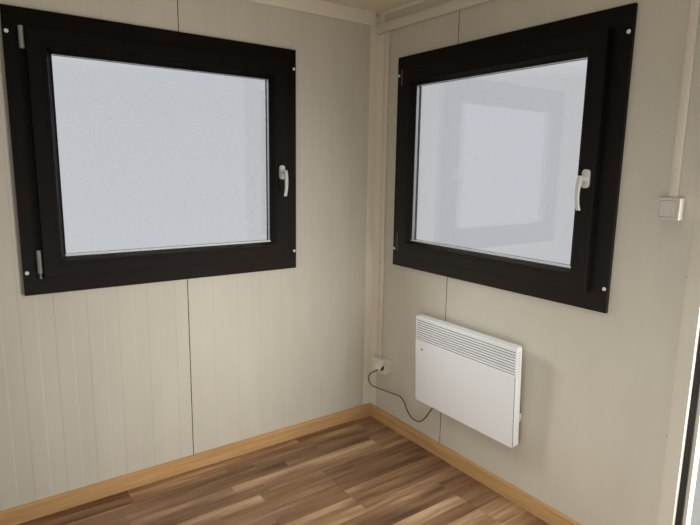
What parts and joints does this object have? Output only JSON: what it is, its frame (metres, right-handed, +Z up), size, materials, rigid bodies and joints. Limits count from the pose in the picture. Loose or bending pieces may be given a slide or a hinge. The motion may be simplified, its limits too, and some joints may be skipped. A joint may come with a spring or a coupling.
{
  "type": "corner bay of a portable site cabin",
  "caption": "Corner of a steel-framed site cabin: floor, roof, two sandwich walls with windows, heater, socket and switch.",
  "frame": {"origin": "middle of the underside of the cabin bay's bounding box", "axes": "+Z up; the left wall runs along X at the far +Y side, the right wall along Y at the +X side"},
  "size_m": [2.332, 1.851, 2.667],
  "materials": {
    "wall_panel": "satin, pale warm grey",
    "trim": "satin, pale warm grey",
    "steel_frame": "satin anthracite",
    "joist_steel": "galvanised",
    "roof_steel": "galvanised",
    "board": "chipboard",
    "laminate": "satin oak laminate",
    "ceiling": "matt white",
    "skirting": "satin oak foil",
    "window_profile": "dark brown grained foil",
    "glass": "clear",
    "spacer": "bright",
    "rubber": "black",
    "hardware": "satin grey",
    "white_plastic": "satin white",
    "grey_plastic": "satin light grey",
    "heater_paint": "satin white",
    "cord": "dark grey"
  },
  "bodies": {
    "root": {"ceiling": "ceiling", "corner_angle": "trim", "corner_block_bottom": "steel_frame", "corner_block_top": "steel_frame", "corner_duct": "trim", "corner_post": "steel_frame", "cornice_left": "trim", "cornice_right": "trim", "door_post": "trim", "door_seal": "rubber", "floor_beam_left": "steel_frame", "floor_beam_right": "steel_frame", "floor_deck": "board", "floor_joists": "joist_steel", "floor_laminate": "laminate", "heater_brackets": "heater_paint", "heater_casing": "heater_paint", "heater_control": "grey_plastic", "heater_cord": "cord", "heater_front": "heater_paint", "heater_gland": "cord", "heater_knob": "grey_plastic", "heater_plug": "cord", "left_panel_corner": "wall_panel", "left_panel_outer": "wall_panel", "left_window_beads": "window_profile", "left_window_frame": "window_profile", "left_window_glass_seal": "rubber", "left_window_handle": "hardware", "left_window_handle_plate": "hardware", "left_window_hinges": "hardware", "left_window_panes": "glass", "left_window_sash": "window_profile", "left_window_screw_caps": "white_plastic", "left_window_spacer": "spacer", "right_panel_corner": "wall_panel", "right_panel_outer": "wall_panel", "right_window_beads": "window_profile", "right_window_frame": "window_profile", "right_window_glass_seal": "rubber", "right_window_handle": "hardware", "right_window_handle_plate": "hardware", "right_window_hinges": "hardware", "right_window_panes": "glass", "right_window_sash": "window_profile", "right_window_screw_caps": "white_plastic", "right_window_spacer": "spacer", "roof_beam_left": "steel_frame", "roof_beam_right": "steel_frame", "roof_joists": "joist_steel", "roof_sheeting": "roof_steel", "skirting_left": "skirting", "skirting_right": "skirting", "socket_box": "white_plastic", "socket_lids": "white_plastic", "switch_box": "grey_plastic", "switch_duct": "trim", "switch_rocker": "grey_plastic", "trunking": "trim"}
  },
  "joints": []
}
